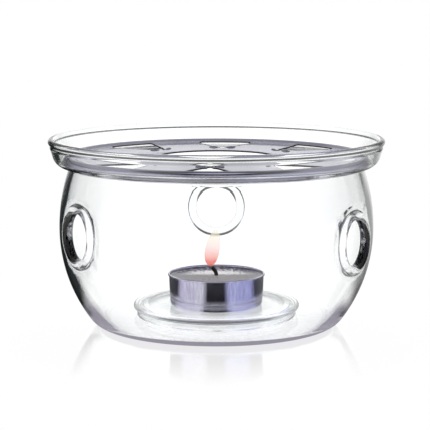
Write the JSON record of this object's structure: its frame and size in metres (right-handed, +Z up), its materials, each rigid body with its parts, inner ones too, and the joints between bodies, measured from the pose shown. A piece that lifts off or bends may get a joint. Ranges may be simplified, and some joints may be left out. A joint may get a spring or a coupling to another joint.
{
  "type": "glass teapot warmer",
  "caption": "Clear glass warmer bowl with vents; a perforated steel plate in its collar carries a teapot over a tealight on a glass dish.",
  "frame": {"origin": "centre of the bowl's foot, on the surface that it stands on", "axes": "+Z up along the bowl's axis, -Y towards the front, +X to the right seen from the front"},
  "size_m": [0.13, 0.13, 0.0731],
  "materials": {
    "bowl_glass": "clear blown borosilicate glass, fire-polished",
    "dish_glass": "clear pressed borosilicate glass",
    "plate_steel": "polished stainless sheet, pressed and pierced",
    "cup_aluminium": "drawn bright aluminium foil cup",
    "wax": "white paraffin, molten on top",
    "clip_tinplate": "plain tinplate",
    "wick_cotton": "waxed braided cotton, charred at the tip"
  },
  "bodies": {
    "warmer": {"glass_bowl": "bowl_glass", "candle_dish": "dish_glass"},
    "plate": {"support_plate": "plate_steel"},
    "tealight": {"tealight_cup": "cup_aluminium", "tealight_wax": "wax", "wick_clip": "clip_tinplate", "wick": "wick_cotton"}
  },
  "joints": [
    {"name": "plate_lift", "type": "slide", "parent": "warmer", "child": "plate", "axis": [0, 0, 1], "range_m": [0, 0.04]},
    {"name": "tealight_lift", "type": "slide", "parent": "warmer", "child": "tealight", "axis": [0, 0, 1], "range_m": [0, 0.08]}
  ]
}
